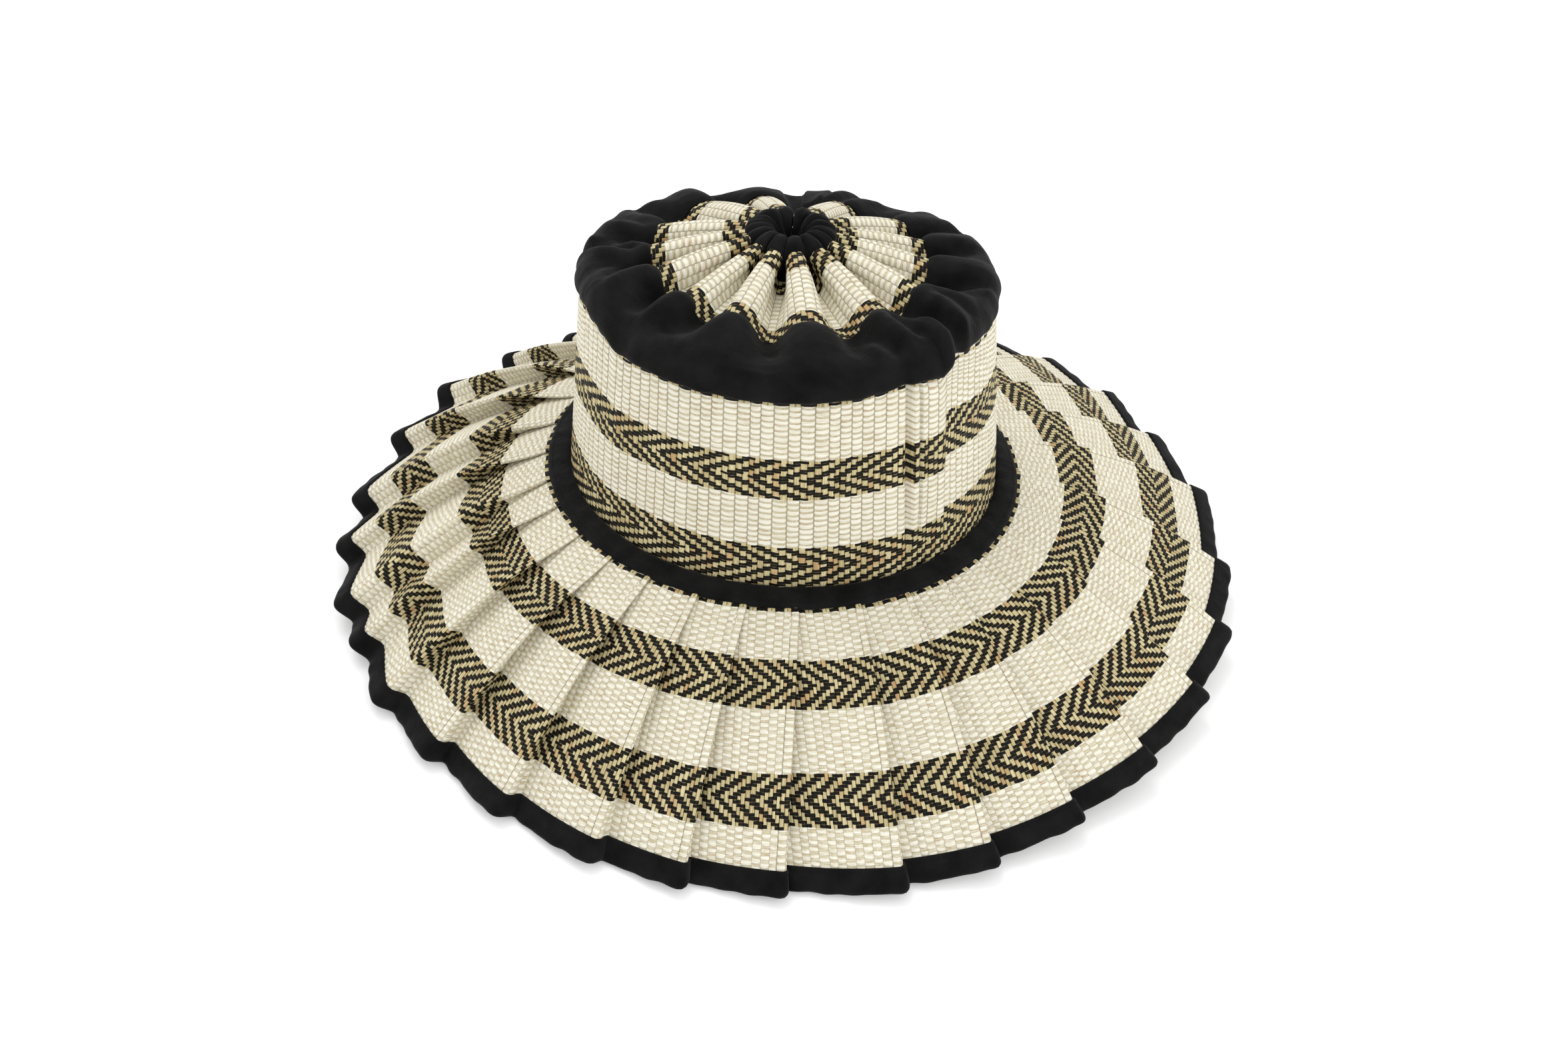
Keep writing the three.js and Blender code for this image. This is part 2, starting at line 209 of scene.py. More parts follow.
def normals_of(points):
    """Unit normals of a grid that is closed round its first axis: across times along."""
    along = np.roll(points, -1, 0) - np.roll(points, 1, 0)
    return unit(np.cross(np.gradient(points, axis=1), along))


def build(name, points, groups):
    """A mesh object from points in millimetres and groups of faces with their corners' layers."""
    mesh = bpy.data.meshes.new(name)
    loops = np.concatenate([faces.ravel() for faces, _ in groups])
    sizes = np.concatenate([np.full(len(faces), faces.shape[1]) for faces, _ in groups])
    mesh.vertices.add(len(points))
    mesh.vertices.foreach_set("co", ((points + SHIFT) / 1000).ravel())
    mesh.loops.add(len(loops))
    mesh.loops.foreach_set("vertex_index", loops)
    mesh.polygons.add(len(sizes))
    mesh.polygons.foreach_set("loop_start", np.concatenate([[0], np.cumsum(sizes)[:-1]]))
    mesh.polygons.foreach_set("use_smooth", np.ones(len(sizes), bool))
    mesh.update(calc_edges=True)
    for layer in groups[0][1]:
        uv = mesh.uv_layers.new(name=layer)
        uv.data.foreach_set(
            "uv", np.concatenate([data[layer].reshape(-1, 2) for _, data in groups]).ravel()
        )
    mesh.validate()
    made = bpy.data.objects.new(name, mesh)
    bpy.context.collection.objects.link(made)
    return made


def quads(start, rows, columns, layers, closed_across=False, flip=False):
    """Faces of a grid of points closed round its first axis. A layer is a pair of arrays, its
    values on the near and on the far side of each step round, so that a pattern has no seam."""
    i, j = np.meshgrid(np.arange(rows), np.arange(columns - (not closed_across)), indexing="ij")
    far, next_j = (i + 1) % rows, (j + 1) % columns
    order = [(i, j, 0), (i, next_j, 0), (far, next_j, 1), (far, j, 1)]
    if flip:
        order = order[::-1]
    faces = np.stack([start + a * columns + b for a, b, _ in order], -1).reshape(-1, 4)
    data = {}
    for layer, sides in layers.items():
        data[layer] = np.stack([sides[side][i, b] for _, b, side in order], -2).reshape(-1, 4, 2)
    return faces, data


def sheet(name, top, thickness, layers, step=(4, 4)):
    """A closed sheet. Its outer side is the fine grid, its inner side a coarser one below it, and
    a fan of triangles at both borders joins every coarse step to its fine ones."""
    n = normals_of(top)
    ni, nj = top.shape[:2]
    every = step[0]
    coarse_i = np.arange(0, ni, every)
    coarse_j = np.unique(np.append(np.arange(0, nj, step[1]), nj - 1))
    under = (top - n * thickness)[coarse_i][:, coarse_j]
    under[..., 2] = np.maximum(under[..., 2], PRESSED + 0.3)
    start = ni * nj
    bi, bj = under.shape[:2]
    below = {
        layer: (
            near[coarse_i][:, coarse_j],
            far[(coarse_i + every - 1) % ni][:, coarse_j],
        )
        for layer, (near, far) in layers.items()
    }
    groups = [quads(0, ni, nj, layers), quads(start, bi, bj, below, flip=True)]
    c = np.arange(bi)
    for edge, edge_under, outer in ((0, 0, False), (nj - 1, bj - 1, True)):
        here = start + c * bj + edge_under
        there = start + (c + 1) % bi * bj + edge_under
        fans = []
        for q in range(every):
            a = (coarse_i + q) % ni * nj + edge
            b = (coarse_i + q + 1) % ni * nj + edge
            if q == every // 2:
                fans.append((a, there, here))
            fans.append((a, b, here if q < every // 2 else there))
        fans = [(x, z, y) if outer else (x, y, z) for x, y, z in fans]
        faces = np.concatenate([np.stack(fan, -1) for fan in fans])
        data = {
            layer: np.tile(near[coarse_i, edge][:, None], (every + 1, 3, 1))
            for layer, (near, _) in layers.items()
        }
        groups.append((faces, data))
    return build(name, np.concatenate([top.reshape(-1, 3), under.reshape(-1, 3)]), groups)


def tube(name, points, layers):
    """A closed ring with a closed section: a grid that meets itself both ways."""
    ni, nj = points.shape[:2]
    return build(name, points.reshape(-1, 3), [quads(0, ni, nj, layers, closed_across=True)])


# Brim


def pleat(k):
    """The table's row for ridge k, counted round and round."""
    return PLEATS[np.mod(k, COUNT)]


def ridge_angle(k, s):
    """Direction of a straight ridge line at slant distance s."""
    outer = NEAR + 0.92 * SLANT
    share = (1 - NEAR / (NEAR + 0.92 * np.maximum(s, 0))) / (1 - NEAR / outer)
    p = pleat(k)
    turn = 360 * np.floor_divide(k, COUNT)
    return np.radians(p[..., 0] + (p[..., 1] - p[..., 0]) * share + turn)


def radius_at(s):
    """Distance from the axis at slant distance s, for a brim that slopes evenly."""
    return NEAR + 0.92 * s


def relief(k, s):
    """Height of a ridge over its valleys: flat under the band, opening down the slant."""
    t = np.clip(s / SLANT, 0, 1)
    at_hem = pleat(k)[..., 3]
    opened = 2.2 + (at_hem + 1.2 - 2.2) * smooth(t / 0.4) - 1.2 * smooth((t - 0.6) / 0.4)
    return opened * smooth((s + 7) / 9)


def pitch(k, s):
    """Arc from the ridge before to ridge k: radius times the turn between them."""
    return radius_at(s) * (ridge_angle(k, s) - ridge_angle(k - 1, s))


def valley(k, s):
    """Where the valley before ridge k lies: how far it hides behind the ridge before it, and how
    much mat goes down to it. The mat in a pleat keeps its length, so ridge, valley and next ridge
    are points of an ellipse with the two ridges as its foci."""
    mat, p = CORDS[np.mod(k, COUNT)] * CORD, pitch(k, s)
    drop = (relief(k, s) ** 2) / ((mat**2 - p**2) / 4)
    behind = mat / 2 * np.sqrt(np.maximum(1 - drop, 0.02)) - p / 2
    return behind, np.hypot(behind, relief(k, s))


def brim_point(angle, s, reach, lift):
    """Mid-surface without pleats: the slope grows evenly, so run and drop are integrals of its
    cosine and sine between the base ring and the hem."""
    narrow = HEAD[1] - HEAD[0]
    bx, by = NEAR * np.cos(angle), (NEAR + narrow) * np.sin(angle)
    top = BRIM_BASE_Z + lean(bx, by)
    run, fall = reach - np.hypot(bx, by), top - lift
    half = CURL / 2
    length = np.hypot(run, fall) * half / np.sin(half)
    first = np.arctan2(fall, run) - half
    slope = first + np.maximum(0, s) / SLANT * CURL
    out = length / CURL * (np.sin(slope) - np.sin(first)) + np.minimum(0, s)
    drop = length / CURL * (np.cos(first) - np.cos(slope))
    x, y = (NEAR + out) * np.cos(angle), (NEAR + narrow + out) * np.sin(angle)
    z = np.where(s < 0, BRIM_BASE_Z + lean(x, y), top - drop)
    return x, y, z, np.where(s < 0, 0, slope)


def brim_mid(k, x, s):
    """Pleated mid-surface. x is the length of mat from the ridge before: down to the valley, and
    from there up along the panel to ridge k."""
    r, mat = radius_at(s), CORDS[np.mod(k, COUNT)] * CORD
    before, ridge = ridge_angle(k - 1, s), ridge_angle(k, s)
    behind, down = valley(k, s)
    back = np.clip(1 - x / down, 0, 1)  # 1 at the ridge before, 0 from the valley on
    up = np.clip((x - down) / (mat - down), 0, 1)
    low = before - behind / r
    angle = np.where(x < down, low + (before - low) * back, low + (ridge - low) * up)
    rise = np.where(x < down, relief(k - 1, s) * back**0.9, relief(k, s) * up**1.2)
    f = np.clip((angle - before) / (ridge - before), 0, 1)
    now, last = pleat(k), pleat(k - 1)
    lift = last[..., 4] + (now[..., 4] - last[..., 4]) * f
    reach = last[..., 2] + (now[..., 2] - last[..., 2]) * f
    wave = last[..., 3] + (now[..., 3] - last[..., 3]) * f
    px, py, pz, slope = brim_point(angle, s, reach - HEM_SKEW - wave * HEM_SINE, lift)
    t = np.clip(s / SLANT, 0, 1)
    out = HEM_SKEW * t * (2 * np.maximum(back, up) - 1) + rise * np.sin(slope)
    return np.stack(
        [px + out * np.cos(angle), py + out * np.sin(angle), pz + rise * np.cos(slope)], -1
    )


def count_cords():
    """Cords of mat in each pleat: enough for its relief at the hem, where the part that goes down
    leans forward a little, and an even number in all so that the weave closes on itself."""
    k = np.arange(COUNT)
    p, rise = pitch(k, SLANT), PLEATS[:, 3]
    forward = 1.5 + 0.7 * (rise - 4.5)
    cords = np.round((np.hypot(forward, rise) + np.hypot(p - forward, rise)) / CORD).astype(int)
    cords[8] += cords.sum() % 2
    return cords


CORDS = count_cords()


def brim_stations(per_cord):
    """Stations round the brim: pleat, length of mat from the ridge before, cords counted from the
    first pleat's start, and distance from the creased line one cord before the next ridge."""
    k = np.repeat(np.arange(COUNT), CORDS * per_cord)
    c = np.concatenate([np.arange(n * per_cord) / per_cord for n in CORDS])
    before = np.concatenate([[0], np.cumsum(CORDS)[:-1]])[k]
    uneven = np.random.default_rng(7).uniform(-0.15, 0.15, CORDS.sum() + 1)
    place = c + np.interp(before + c, np.arange(len(uneven)), uneven)
    place = np.where((c < 1) | (c > CORDS[k] - 1), c, place)
    return k, place * CORD, before + c, (c - CORDS[k] + 1) * CORD


def cord_relief(u, depth):
    """A cord's rounded back across its width, 0 in the groove: u counts cords."""
    across = np.abs(2 * (u % 1) - 1)
    return depth * (np.sqrt(1 - 0.97 * across**2) - 1)


def rounded(points, k, s, passes=(2, 25)):
    """Sharp folds where the pleats lie pressed, and soft ones where they stand open at the hem."""
    sharp = blur(points, passes[0])
    soft = blur(sharp, passes[1])
    open_here = (np.maximum(pleat(k), pleat(k - 1))[:, 3] - 4.8) / 3.8
    share = smooth(open_here)[:, None] * smooth((s[None, :] - 50) / 50)
    share = blur(share, 30)
    return sharp + (soft - sharp) * share[..., None]


def make_brim():
    """The pleated mid-surface, raised along its normal by half the mat's thickness, a rounded back
    on every cord, and a slow ripple of wear that is nil at the crown and the hem."""
    per_cord = 4
    k, x, cords, crease = brim_stations(per_cord)
    s = np.linspace(-5, SLANT - 1.8, 50)
    top = brim_mid(k[:, None], x[:, None], s[None, :])
    top = rounded(top, k, s)
    n = normals_of(top)
    angle = np.arctan2(top[..., 1], top[..., 0])
    worn = waves(angle, 3, (9, 14, 23, 37), 0.35) * np.sin(s / SLANT * 3.1)[None, :]
    top = top + n * (0.6 + cord_relief(cords, 0.42)[:, None] + worn)[..., None]
    rows = np.interp(s / SLANT, BRIM_ROWS[:, 0], BRIM_ROWS[:, 1]) + np.minimum(0, s) / 1.4
    grid = np.ones((len(k), len(s)))
    near = np.stack([2 * cords[:, None] * grid, rows[None, :] * grid], -1)
    far = near + [2 / per_cord, 0]
    fold_near = np.stack([crease[:, None] * grid, s[None, :] * grid], -1)
    fold_far = fold_near + [CORD / per_cord, 0]
    layers = {"weave": (near, far), "fold": (fold_near, fold_far)}
    return sheet("brim_mat", top, thickness=1.15, layers=layers, step=(4, 4))


def make_hem():
    """Cotton folded over the mat's edge: a flattened loop in section, fuller at the fold."""
    k, x, _, _ = brim_stations(3)
    start, edge = SLANT - 9.2, SLANT
    # distance along the slant and height over the mat's middle
    section = np.array(
        [
            (start, 0.7),
            (start + 0.15, 1.25),
            (start + 0.8, 1.6),
            (start + 1.6, 1.45),
            (start + 2.6, 1.7),
            (start + 4.4, 1.85),
            (start + 6.4, 1.95),
            (edge - 1.6, 1.9),
            (edge - 0.7, 1.55),
            (edge - 0.15, 0.9),
            (edge, 0),
            (edge - 0.15, -0.9),
            (edge - 0.7, -1.55),
            (edge - 1.8, -1.85),
            (start + 5, -1.8),
            (start + 1.5, -1.55),
            (start + 0.15, -1.2),
            (start, -0.7),
        ]
    )
    s, height = section[:, 0], section[:, 1]
    points = rounded(brim_mid(k[:, None], x[:, None], s[None, :]), k, s, (2, 14))
    ahead = rounded(brim_mid(k[:, None], x[:, None], s[None, :] + 0.5), k, s, (2, 14))
    along = np.roll(points, -1, 0) - np.roll(points, 1, 0)
    n = unit(blur(unit(np.cross(ahead - points, along)), 2))
    angle = np.arctan2(points[..., 1], points[..., 0])
    free = smooth((s - start) / 9)[None, :]
    puff = 1 + free * waves(angle, 5, (31, 47, 78, 113, 149), 0.16)
    points = points + n * (height[None, :] * puff)[..., None]
    out = unit(points * [1, 1, 0])
    points = points + out * (free * waves(angle, 6, (41, 67, 93, 131), 0.32))[..., None]
    points[..., 2] = np.maximum(points[..., 2], PRESSED)
    run, girth = run_along(ringed(points[:, 8])), run_along(section)
    grid = np.ones((len(k), len(s)))
    near = np.stack([run[:-1, None] * grid, girth[None, :] * grid], -1)
    far = np.stack([run[1:, None] * grid, girth[None, :] * grid], -1)
    return tube("brim_binding", points, {"cloth": (near, far)}), points


def stitches(name, path, up, length, every, radius):
    """Short threads lying on a closed path, one every so many millimetres: a bead of six-sided
    rings, thickest in its middle and dipping into the cloth at both ends."""
    closed, closed_up = ringed(path), ringed(up)
    run = run_along(closed)
    count = int(run[-1] / every)
    middle = (np.arange(count) + rng.uniform(-0.08, 0.08, count)) * run[-1] / count

    def at(d, values):
        """Values at distances round the path: straight between its points."""
        d = np.mod(d, run[-1])
        return np.stack([np.interp(d, run, values[:, c]) for c in range(3)], -1)

    offsets = np.array([-0.5, -0.3, 0, 0.3, 0.5]) * length
    widths = np.array([0.35, 0.9, 1.0, 0.9, 0.35]) * radius
    dips = np.array([-0.9, 0.1, 0.45, 0.1, -0.9]) * radius
    centre = at(middle[:, None] + offsets[None, :], closed)
    normal = unit(at(middle[:, None] + offsets[None, :], closed_up))
    side = np.cross(unit(np.gradient(centre, axis=1)), normal)
    turn = np.arange(6) / 6 * 2 * math.pi
    ring = side[:, :, None] * np.cos(turn)[:, None] + normal[:, :, None] * np.sin(turn)[:, None]
    points = (
        centre[:, :, None]
        + ring * widths[None, :, None, None]
        + (normal * dips[None, :, None])[:, :, None]
    )
    one = points.shape[1] * 6
    a, b = np.meshgrid(np.arange(4), np.arange(6), indexing="ij")
    base = np.stack(
        [a * 6 + b, a * 6 + (b + 1) % 6, (a + 1) * 6 + (b + 1) % 6, (a + 1) * 6 + b], -1
    ).reshape(-1, 4)
    caps = np.array([[3, 2, 1, 0], [0, 5, 4, 3], [24, 25, 26, 27], [27, 28, 29, 24]])
    base = np.concatenate([base[:, ::-1], caps[:, ::-1]])
    faces = (base[None] + np.arange(count)[:, None, None] * one).reshape(-1, 4)
    uv = np.zeros((len(faces), 4, 2))
    return build(name, points.reshape(-1, 3), [(faces, {"cloth": uv})])


# Band, wall and top


def make_band():
    """Cotton band rolled round the crown's foot: a low cushion in section."""
    stations = 420
    angle = np.arange(stations) / stations * 2 * math.pi
    # distance outside the crown and height over the brim's mat
    section = np.array(
        [
            (-0.4, 0.3),
            (-0.3, 3.3),
            (0.5, 4.1),
            (1.8, 4.3),
            (3.6, 4.15),
            (5.4, 3.75),
            (6.9, 3.2),
            (7.7, 2.85),
            (8.5, 2.55),
            (9.3, 1.9),
            (9.7, 1.1),
            (9.5, 0.35),
            (8.6, 0.1),
            (4.0, 0.1),
        ]
    )
    out, up = section[:, 0], section[:, 1]
    a = angle[:, None]
    ripple = waves(a, 8, (7, 12, 31, 53), 0.22) * smooth(out / 5)[None, :]
    r = HEAD[0] + out[None, :] + ripple
    x, y = r * np.cos(a), (r + HEAD[1] - HEAD[0]) * np.sin(a)
    puff = 1 + waves(a, 9, (5, 17, 29, 61), 0.05)
    z = BRIM_BASE_Z + 0.7 + up[None, :] * puff + lean(x, y)
    points = np.stack([x, y, z], -1)
    girth = run_along(section)
    grid = np.ones((stations, len(out)))
    near = np.stack([a * 99 * grid, girth[None, :] * grid], -1)
    far = near + [2 * math.pi * 99 / stations, 0]
    return tube("crown_band", points, {"cloth": (near, far)}), points


def wall_point(angle, s, n):
    """Upright wall between two ellipses, share s from its hidden top down, n outward."""
    foot, head = BRIM_BASE_Z + 0.9, CROWN_TOP_AT[2] + 5.2
    a = CROWN_TOP[0] + (HEAD[0] - CROWN_TOP[0]) * s + n
    b = CROWN_TOP[1] + (HEAD[1] - CROWN_TOP[1]) * s + n
    x = a * np.cos(angle) + CROWN_TOP_AT[0] * (1 - s)
    y = b * np.sin(angle) + CROWN_TOP_AT[1] * (1 - s)
    z = (head - sag(y)) * (1 - s) + (foot + lean(x, y)) * s
    return np.stack([x, y, z + seam_lift(angle) * (1 - s) ** 2.5], -1)


def make_wall():
    """The upright mat in cords of uneven width. Its offset from the wall sums the cords' rounded
    backs, two bell-shaped troughs for the tucks, a step for the panel up to the join, and a slow
    ripple. Past the join the rows slip up by five, a step that fades out behind."""
    cords, per_cord, rows = 116, 6, 44
    widths = rng.uniform(0.82, 1.18, cords)
    edges = np.concatenate([[0], np.cumsum(widths)])
    edges *= 2 * math.pi / edges[-1]
    c = np.arange(cords * per_cord) / per_cord
    angle = np.interp(c, np.arange(cords + 1), edges)[:, None]
    s = np.linspace(0, 1, rows)[None, :]
    at = np.degrees(angle)
    deep = 3.2 * np.exp(-(((at - TUCKS[0] - 0.1) / 0.65) ** 2))
    tucks = deep + np.exp(-(((at - TUCKS[1]) / 0.4) ** 2))
    panel = smooth((at - 304.4) / 0.8) * (at < JOIN)
    upper = smooth((0.95 - s) / 0.4)
    proud = 1.2 * panel * upper * smooth((s - 0.03) / 0.08)
    slip = 5.0 * np.clip((346 - at) / (346 - JOIN), 0, 1) * (at > JOIN) * (1 - 0.7 * smooth(s))
    soft = waves(angle + 0.15 * s, 12, (3, 5, 8, 13), 0.55) * np.sin(s * 3.14)
    n = cord_relief(c, 0.5)[:, None] + proud - tucks * upper + soft
    top = wall_point(angle, s, n)
    height, hidden, in_sight = WALL_HEIGHTS
    shown = (s[0] * height - hidden) / in_sight
    rows_at = np.interp(shown, CROWN_ROWS[:, 0], CROWN_ROWS[:, 1])
    slip = slip * smooth((rows_at[None, :] - 0.6) / 9)
    grid = np.ones(top.shape[:2])
    near = np.stack([2 * c[:, None] * grid, rows_at[None, :] + slip * grid], -1)
    far = near + [2 / per_cord, 0]
    # distance from the nearest tuck or the join, which the crown's material paints as a dark line,
    # painted shadow in the tucks and at the join
    lines = np.array([*TUCKS, JOIN])
    nearest = lines[np.argmin(np.abs(at - lines), axis=1)][:, None]
    from_line = (at - nearest) * math.radians(WALL_RADIUS)  # millimetres
    fold = np.stack([from_line / np.maximum(upper, 0.05), grid * 0], -1)
    fold_far = fold + [(edges[1] - edges[0]) * WALL_RADIUS / per_cord, 0]
    layers = {"weave": (near, far), "fold": (fold, fold_far)}
    return sheet("crown_mat", top, thickness=1.9, layers=layers, step=(6, 4))


# The meander's largest swing, and the share of its length that it spans: the mean cosine of the
# direction over one turn
SWINGS = np.linspace(0, 2.1, 200)
SPANS = np.mean(np.cos(SWINGS[:, None] * np.sin(np.linspace(0, 2 * math.pi, 721)[:-1])), axis=1)


def gathered(r, cloth, stations, pinch):
    """One ring of gathered cloth for each radius: a meander, the line that cloth of a fixed length
    takes when it is pushed together. Its direction swings as the sine of the way along it, by an
    angle that leaves the length over the straight span between two ridges. cloth is the length
    in each fold by radius, and pinch the share of the span by which valleys are pressed narrower.
    It gives the angle round the hat, the depth below the ridges and folds counted so far."""
    ends = np.radians(np.append(RIDGES, RIDGES[0] + 360))
    angles, depths, runs = [], [], []
    for i, turn in enumerate(np.diff(ends)):
        span = r * turn
        length = np.maximum(cloth(i, r), span * 1.0005)
        swing = np.interp(-span / length, -SPANS, SWINGS)[None, :]
        count = stations[i]
        phase = (np.arange(count * 8 + 1) / (count * 8))[:, None]
        heading = swing * np.sin(2 * math.pi * phase)
        x = np.cumsum(np.cos(heading), axis=0)[::8][:-1]
        y = np.cumsum(np.sin(heading), axis=0)[::8][:-1]
        x, y = (x - x[:1]) / (count * 8) * length, (y - y[:1]) / (count * 8) * length
        x = x + pinch * span * np.sin(2 * math.pi * phase[::8][:-1])
        angles.append(ends[i] + x / r)
        depths.append(y)
        runs.append(i + phase[::8][:-1, 0])
    return np.concatenate(angles), np.concatenate(depths), np.concatenate(runs)


def top_point(angle, r, z):
    """A point of the top: angle and radius round its middle, with its height less the sag."""
    x = ROSETTE_AT[0] + r * np.cos(angle)
    y = ROSETTE_AT[1] + r * np.sin(angle)
    return np.stack([x, y, z - sag(y)], -1)


def profile(table, count, passes=6):
    """A table's rows resampled evenly along the first two columns, then rounded off."""
    table = np.array(table, float)
    run = np.concatenate([[0], np.cumsum(np.hypot(*np.diff(table[:, :2], axis=0).T))])
    at = np.linspace(0, run[-1], count)
    rows = np.stack([np.interp(at, run, table[:, c]) for c in range(table.shape[1])], -1)
    for _ in range(passes):
        rows[1:-1] = rows[:-2] / 4 + rows[1:-1] / 2 + rows[2:] / 4
    return rows, at


# Degrees from ridge to ridge, and the cords of mat in each: an even number in all
TURNS = np.diff(np.append(RIDGES, RIDGES[0] + 360))
TOP_CORDS = np.round(2.9 + 0.209 * TURNS).astype(int)
TOP_CORDS[np.argmax(TURNS)] += TOP_CORDS.sum() % 2


def mat_in_fold(i, r):
    """Length of mat in fold i: its cords, as many at every radius."""
    return TOP_CORDS[i] * TOP_CORD * np.ones_like(r)


def make_rosette():
    """Mat gathered into radial folds. It keeps its cords, so they crowd towards the centre."""
    per_cord = 5
    t = np.linspace(0, 1, 48)  # from the centre out
    inner, outer = MAT_RING
    r = inner + (outer - inner) * t
    z = 163.9 + (155.0 - 163.9) * t + 1.1 * np.sin(t * 3.14)
    pinch = 0.11 - 0.08 * t
    angle, depth, run = gathered(r, mat_in_fold, TOP_CORDS * per_cord, pinch)
    top = top_point(angle, r[None, :], z[None, :] - depth)
    before = np.concatenate([[0], np.cumsum(TOP_CORDS)])
    cords = np.interp(run, np.arange(len(before)), before)
    n = normals_of(top)
    uneven = waves(angle, 21, (5, 9, 14, 23), 0.5) * np.sin(t * 3.1)[None, :]
    top = top + n * (cord_relief(cords, 0.4)[:, None] + uneven)[..., None]
    grid = np.ones(top.shape[:2])
    rows_at = (outer - r) / 1.25
    near = np.stack([2 * cords[:, None] * grid, rows_at[None, :] * grid], -1)
    far = near + [2 / per_cord, 0]
    fold = np.stack([grid * 50, grid * 0], -1)
    layers = {"weave": (near, far), "fold": (fold, fold)}
    return sheet("top_mat", top, thickness=1.1, layers=layers, step=(5, 4))


def cloth_ring(name, rows, at, cloth, per_fold, pinch, thickness, ripple, rise, step):
    """A ring of gathered cloth from rows of radius and height along its ridges."""
    r, z = rows[:, 0], rows[:, 1]
    angle, depth, run = gathered(r, cloth, per_fold, pinch)
    points = top_point(angle, r[None, :], z[None, :] + rise(angle) - depth)
    points = points + normals_of(points) * ripple(angle)[..., None]
    grid = np.ones(points.shape[:2])
    each = 31.0  # millimetres of cloth in a fold
    near = np.stack([run[:, None] * each * grid, at[None, :] * grid], -1)
    far = near + [each / per_fold[0], 0]
    return sheet(name, points, thickness, {"cloth": (near, far)}, step=step)


def crease_field(angle, r):
    """Height of the creases: a narrow trough along each line between two low swells, fading in
    over 6 mm and out over 8 mm."""
    total = 0
    for start, end, inner, outer, depth, width in CREASES:
        line = np.radians(start + (end - start) * np.clip((r - inner) / (outer - inner), 0, 1))
        off = np.abs((angle - line + math.pi) % (2 * math.pi) - math.pi) * r / width
        shape = 0.5 * np.exp(-((off - 1.8) ** 2)) - np.exp(-(off**2))
        total = total + depth * shape * smooth((r - inner + 6) / 8) * smooth((outer - r) / 8)
    return total


def make_yoke():
    """Cotton over the crown's shoulder: a rounded profile carried round the top, with folds that
    start as full as the mat's and run out by the shoulder."""
    rows, at = profile(
        [
            (55.0, 155.6),
            (58.0, 156.9),
            (63.5, 156.9),
            (70.0, 155.6),
            (76.0, 153.2),
            (80.8, 149.7),
            (83.6, 146.0),
            (84.7, 142.9),
            (84.9, 140.9),
            (84.3, 140.0),
        ],
        50,
    )
    r = rows[:, 0][None, :]
    share = smooth(at / at[-1])[None, :]

    def cloth(i, radius):
        """Length of cloth in fold i: the arc over a share that eases from the mat's to 1."""
        start = 55.0 * np.radians(TURNS[i]) / (TOP_CORDS[i] * TOP_CORD)
        ratio = start + (1 - start) * smooth((radius - 54) / 27)
        return radius * np.radians(TURNS[i]) / np.clip(ratio, 0.5, 1)

    def ripple(angle):
        """Outward offset: lumps, an uneven edge, creases, a flap behind and a box by the join."""
        lumps = waves(angle + 0.1 * share, 31, (9, 13, 17, 22), 0.7) * np.sin(share * 3.14)
        edge = waves(angle, 33, (11, 17, 26, 37, 53), 0.4) * share**2
        at = np.degrees(angle) % 360
        flap = smooth((at - 76.5) / 1.5) * smooth((87.5 - at) / 1.5)
        flap = 2.2 * flap * smooth((r - 56) / 4) * smooth((85 - r) / 6)
        box = 1.5 * smooth((at - 301.5) / 2.5) * smooth((318.5 - at) / 2.5) * share**3
        return lumps + edge + crease_field(angle, r) + flap + box

    def rise(angle):
        """The seam's height, eased in from the mat's edge to the shoulder."""
        return seam_lift(angle) * smooth((r - 60) / 23)

    per_fold = np.full(len(RIDGES), 56)
    pinch = 0.03 * (1 - share[0])
    name, thickness, step = "crown_yoke_cloth", 1.1, (4, 3)
    return cloth_ring(name, rows, at, cloth, per_fold, pinch, thickness, ripple, rise, step)


def make_gather():
    """Cotton drawn together in the middle: fingers that start over the mat's inner edge, rise a
    little and turn down into a small hole. Behind the hole they stand higher."""
    rows, at = profile(
        [
            (0.7, 148.6),
            (2.4, 149.0),
            (4.0, 150.4),
            (4.4, 154.0),
            (4.6, 158.6),
            (5.8, 162.6),
            (8.0, 165.4),
            (11.0, 166.4),
            (14.4, 165.9),
            (16.9, 164.8),
            (17.8, 164.0),
            (18.0, 162.8),
        ],
        42,
        4,
    )
    r = rows[:, 0][None, :]
    share = (at / at[-1])[None, :]
    inside = smooth(1 - share * 1.9)

    def cloth(i, radius):
        """Length of cloth in fold i: the mat's and a little ease, or what the arc can hold."""
        span = radius * np.radians(TURNS[i])
        return np.minimum(TOP_CORDS[i] * TOP_CORD + 0.8, span / 0.27)

    def ripple(angle):
        """Outward offset: a sine without its sign, for small pleats in the hole, and a ripple."""
        small = np.abs(np.sin(17 * angle + 0.7 + 3 * share)) * 0.9 * inside
        return small + waves(angle, 41, (17, 23, 31, 47), 0.22) * smooth(share * 3)

    def rise(angle):
        """Behind the hole a bell-shaped swell, and a dip inside it."""
        behind = smooth(np.sin(angle) * 1.6)
        return behind * 1.6 * np.exp(-(((r - 9.5) / 5) ** 2)) - 3 * inside * behind

    per_fold = np.full(len(RIDGES), 48)
    name, pinch, thickness, step = "centre_cloth", 0.17, 0.9, (4, 3)
    return cloth_ring(name, rows, at, cloth, per_fold, pinch, thickness, ripple, rise, step)


# Materials: colours as sRGB hex values

STRAW_DEEP, STRAW_PALE, STRAW_BROWN = "#a8976a", "#d6ca9f", "#b48655"
COTTON_DEEP, COTTON_PALE, COTTON_LOOSE = "#cfc7b0", "#efecdd", "#e2dcc9"
BLACK_DEEP, BLACK_PALE = "#080704", "#211c13"
DRILL_DEEP, DRILL_LIT = "#020202", "#1b1b1b"


